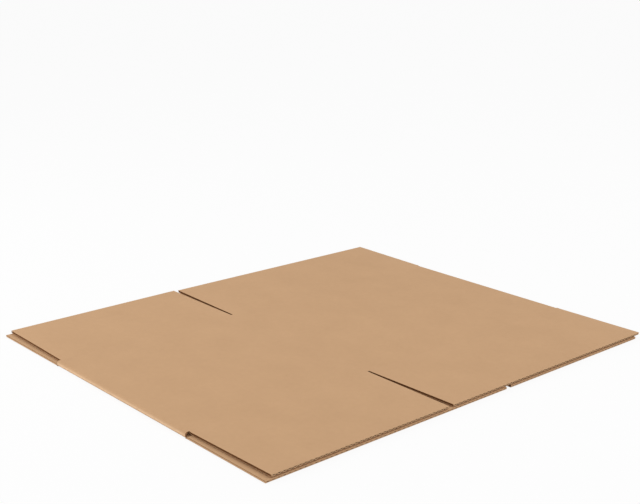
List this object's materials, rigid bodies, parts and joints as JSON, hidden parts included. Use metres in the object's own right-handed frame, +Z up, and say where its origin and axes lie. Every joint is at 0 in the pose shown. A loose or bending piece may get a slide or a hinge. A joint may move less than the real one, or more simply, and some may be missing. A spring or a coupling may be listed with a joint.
{
  "type": "flattened cardboard box",
  "caption": "Corrugated carton glued into a sleeve and folded flat, in two layers, with scored flaps at both ends and open flutes at their edges.",
  "frame": {"origin": "under the middle of the flat sheet, on the surface that it lies on", "axes": "+X across the panels from one fold to the other, +Y along the flutes and the flaps' length, +Z up through the two layers"},
  "size_m": [0.618, 0.519, 0.0082],
  "materials": {
    "kraft_board": "matte brown kraft liner"
  },
  "bodies": {
    "carton_body": {"carton_body": "kraft_board"},
    "front_minor_flap": {"front_minor_flap": "kraft_board"},
    "front_major_flap": {"front_major_flap": "kraft_board"},
    "rear_minor_flap": {"rear_minor_flap": "kraft_board"},
    "rear_major_flap": {"rear_major_flap": "kraft_board"}
  },
  "joints": [
    {"name": "front_minor_score", "type": "hinge", "parent": "carton_body", "child": "front_minor_flap", "pos_m": [-0.177, -0.13, 0.007], "axis": [-1, 0, 0], "range_deg": [0, 175]},
    {"name": "front_major_score", "type": "hinge", "parent": "carton_body", "child": "front_major_flap", "pos_m": [0.128, -0.13, 0.007], "axis": [-1, 0, 0], "range_deg": [0, 175]},
    {"name": "rear_minor_score", "type": "hinge", "parent": "carton_body", "child": "rear_minor_flap", "pos_m": [-0.177, 0.13, 0.007], "axis": [1, 0, 0], "range_deg": [0, 175]},
    {"name": "rear_major_score", "type": "hinge", "parent": "carton_body", "child": "rear_major_flap", "pos_m": [0.128, 0.13, 0.007], "axis": [1, 0, 0], "range_deg": [0, 175]}
  ]
}
